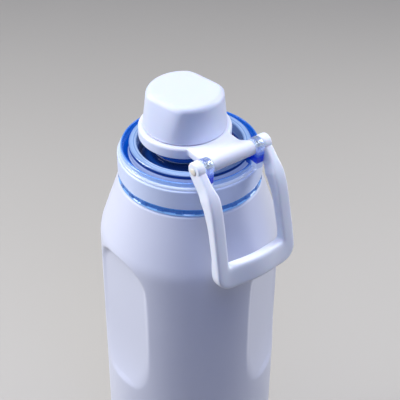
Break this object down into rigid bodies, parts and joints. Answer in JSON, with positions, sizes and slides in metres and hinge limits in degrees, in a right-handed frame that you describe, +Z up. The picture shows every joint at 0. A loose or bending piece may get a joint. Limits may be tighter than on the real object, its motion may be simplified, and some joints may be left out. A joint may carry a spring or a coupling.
{
  "type": "insulated water bottle with tethered drinking cap",
  "caption": "Tall insulated steel bottle with long grip flats, a screw-on clear lid, a hinged screw cap over the spout and a swinging bail handle.",
  "frame": {"origin": "centre of the foot pad's resting face, on the bottle's axis", "axes": "+Z up along the bottle's axis, +X towards the hinge that carries the handle, +Y along the hinge pin"},
  "size_m": [0.1007, 0.09, 0.2782],
  "materials": {
    "coated_shell": "matt powder coat on drawn stainless steel, pale lavender white",
    "bare_steel": "electropolished stainless steel",
    "foot_silicone": "matt silicone",
    "clear_silicone": "translucent silicone",
    "clear_blue": "glossy transparent royal blue copolyester",
    "coated_collar": "satin coated band, pale lavender white",
    "core_plastic": "moulded polypropylene, fine satin",
    "spout_plastic": "translucent blue copolyester",
    "white_plastic": "fine satin moulded polypropylene, pale lavender white",
    "tether_plastic": "flexible satin moulding, pale lavender white",
    "pin_steel": "polished stainless pin",
    "pin_cap_plastic": "cream moulded cap",
    "handle_plastic": "satin moulded polypropylene, pale lavender white"
  },
  "bodies": {
    "bottle": {"outer_shell": "coated_shell", "inner_liner": "bare_steel", "base_cup": "bare_steel", "getter": "bare_steel", "foot_pad": "foot_silicone"},
    "seal_ring": {"lid_gasket": "clear_silicone"},
    "lid": {"lid_body": "clear_blue", "skirt_ring": "clear_blue", "collar_band": "coated_collar", "lid_core": "core_plastic", "plug_plate": "core_plastic", "spout": "spout_plastic", "spout_seal": "clear_silicone", "hinge_pin": "pin_steel", "pin_cap_left": "pin_cap_plastic", "pin_cap_right": "pin_cap_plastic"},
    "cap_tether": {"tether": "tether_plastic"},
    "drinking_cap": {"cap_shell": "white_plastic", "cap_liner": "white_plastic", "cap_seal": "clear_silicone", "cap_retainer": "white_plastic"},
    "bail": {"handle": "handle_plastic"}
  },
  "joints": [
    {"name": "lid_lift", "type": "slide", "parent": "bottle", "child": "seal_ring", "axis": [0, 0, 1], "range_m": [0, 0.08]},
    {"name": "lid_twist", "type": "hinge", "parent": "seal_ring", "child": "lid", "pos_m": [0, 0, 0.245], "axis": [0, 0, 1], "range_deg": [0, 540]},
    {"name": "tether_flip", "type": "hinge", "parent": "lid", "child": "cap_tether", "pos_m": [0.031, 0, 0.26], "axis": [0, 1, 0], "range_deg": [0, 110]},
    {"name": "cap_twist", "type": "hinge", "parent": "cap_tether", "child": "drinking_cap", "pos_m": [-0.0042, 0, 0.26], "axis": [0, 0, 1], "range_deg": [0, 450]},
    {"name": "handle_swing", "type": "hinge", "parent": "lid", "child": "bail", "pos_m": [0.031, 0, 0.26], "axis": [0, -1, 0], "range_deg": [0, 185]}
  ]
}
